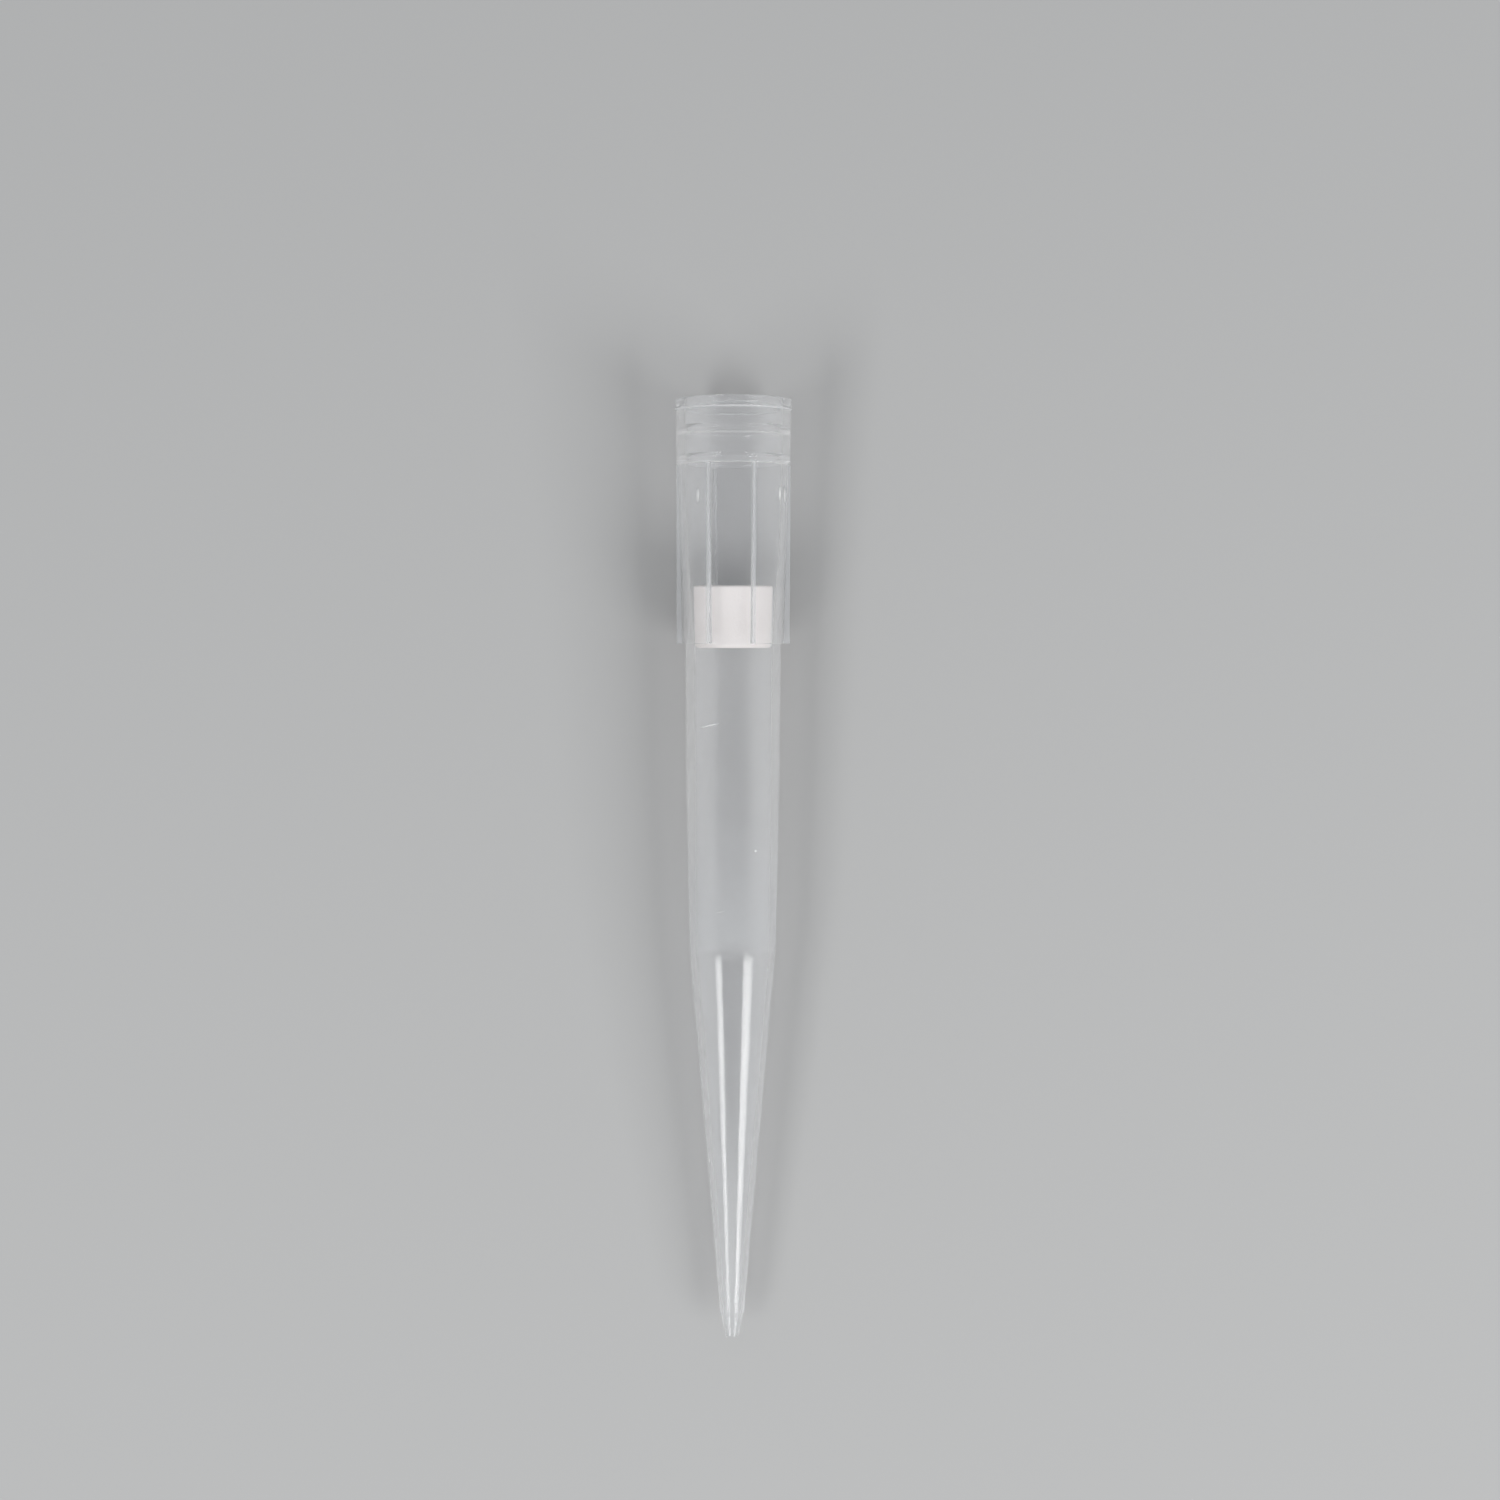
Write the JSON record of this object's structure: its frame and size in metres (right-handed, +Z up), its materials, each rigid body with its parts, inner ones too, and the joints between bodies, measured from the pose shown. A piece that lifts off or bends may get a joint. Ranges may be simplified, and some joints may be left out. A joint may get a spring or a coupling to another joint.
{
  "type": "pipette tip",
  "caption": "Translucent tapered tip for an air-displacement pipette, with a ribbed head, inner sealing rings and a white filter plug pressed in the bore; it lies on its side.",
  "frame": {"origin": "on the surface that the tip lies on, under the middle of its bounding box", "axes": "+Z up, +Y along the tip towards the mouth, +X to the right of the mouth end as seen from above"},
  "size_m": [0.0088, 0.072, 0.009],
  "materials": {
    "translucent_polypropylene": "natural translucent, smooth moulded gloss",
    "porous_filter": "sintered porous, matte"
  },
  "bodies": {
    "root": {"tip_body": "translucent_polypropylene", "filter_plug": "porous_filter"}
  },
  "joints": []
}
